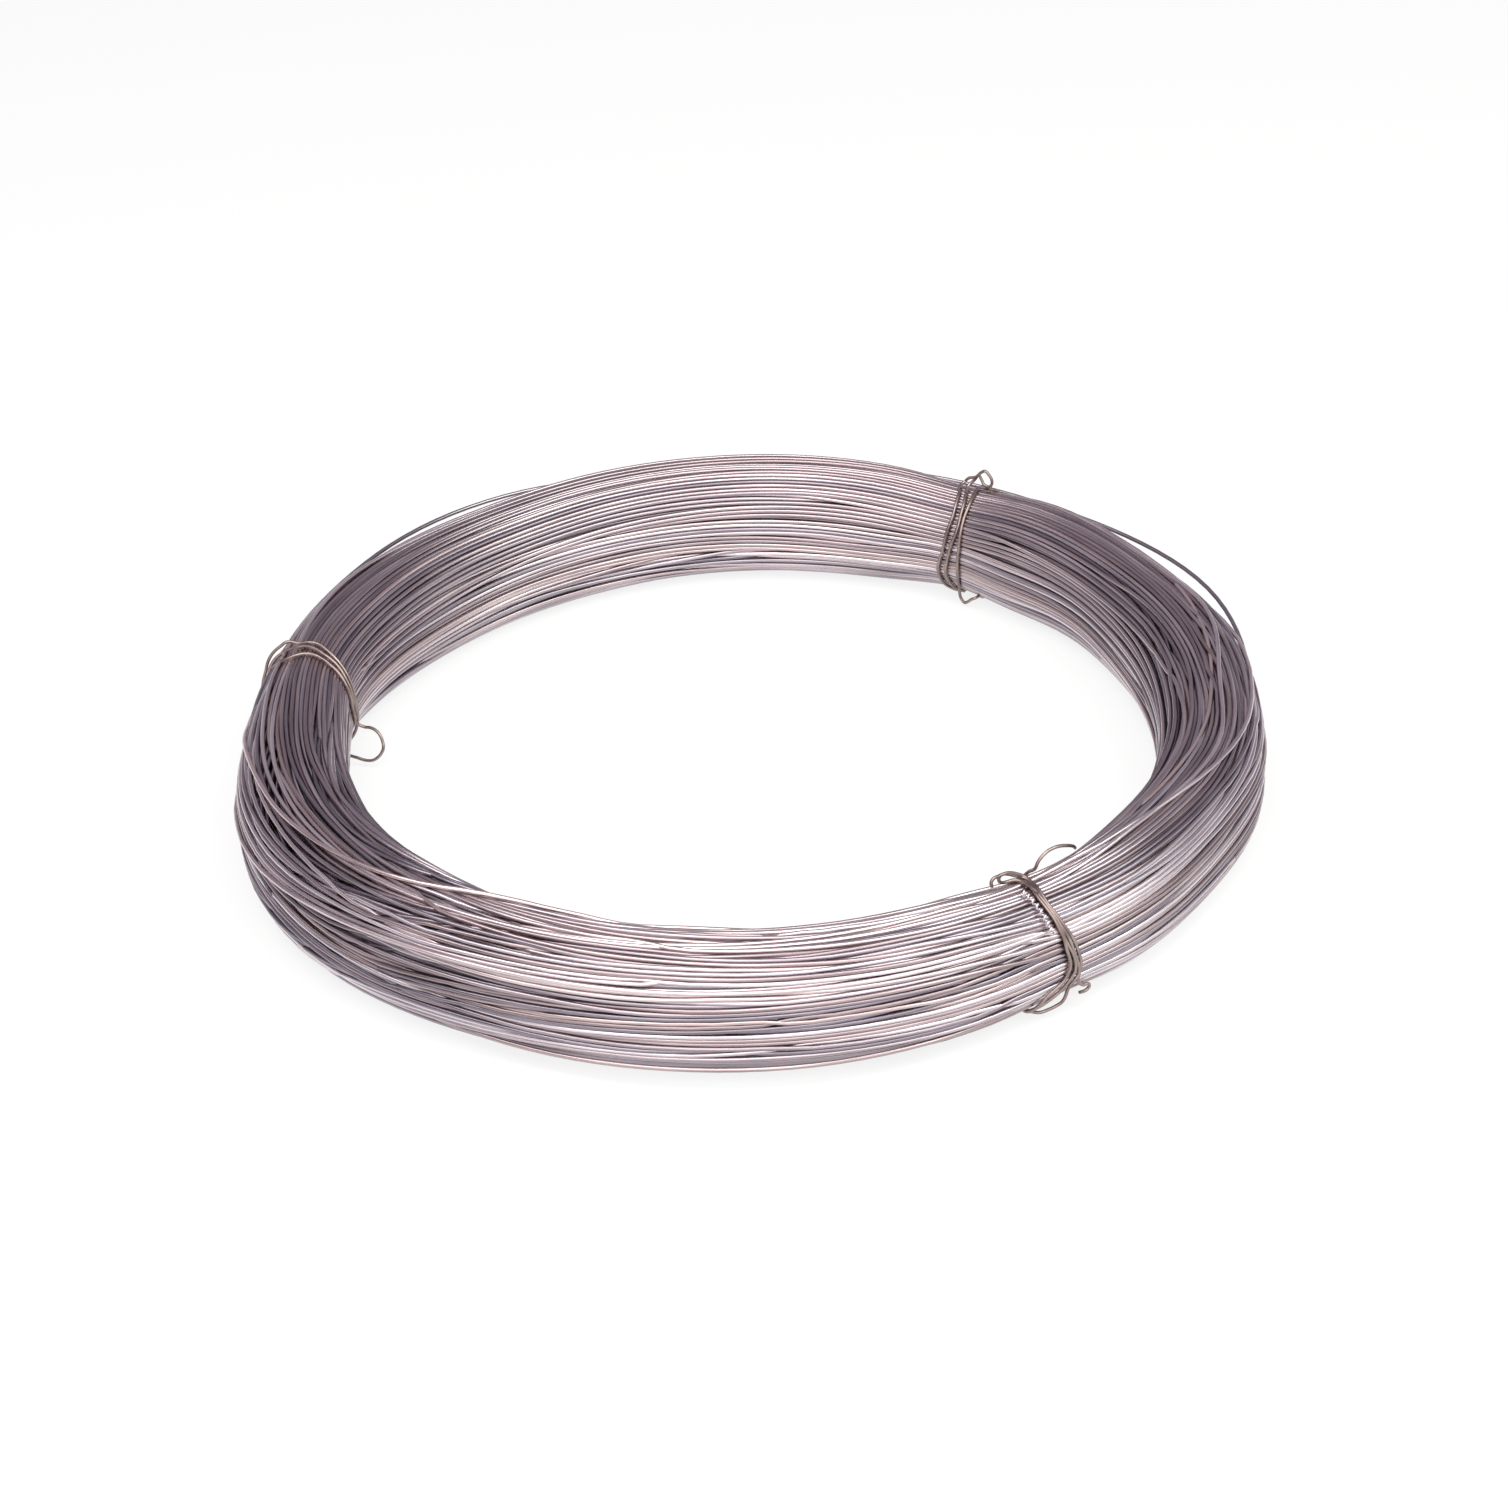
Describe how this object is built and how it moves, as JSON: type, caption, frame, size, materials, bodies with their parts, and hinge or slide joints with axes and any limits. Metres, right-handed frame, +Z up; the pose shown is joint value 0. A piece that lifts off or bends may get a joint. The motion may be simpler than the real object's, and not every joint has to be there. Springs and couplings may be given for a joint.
{
  "type": "coil of galvanized wire",
  "caption": "Flat ring-shaped coil of plain galvanized wire, held together by tie wires round the bundle.",
  "frame": {"origin": "centre of the coil on the floor that it lies on", "axes": "+Z up, along the ring's axis and out of the bore; -Y towards the viewer of the picture, +X to the right"},
  "size_m": [0.4, 0.4, 0.0571],
  "materials": {
    "galvanized_wire": "bright zinc coat, mottled, semi-gloss",
    "tie_wire": "dull annealed zinc coat, brownish grey"
  },
  "bodies": {
    "root": {"wire_coil": "galvanized_wire", "tie_wire_left": "tie_wire", "tie_wire_back": "tie_wire", "tie_wire_front": "tie_wire"}
  },
  "joints": []
}
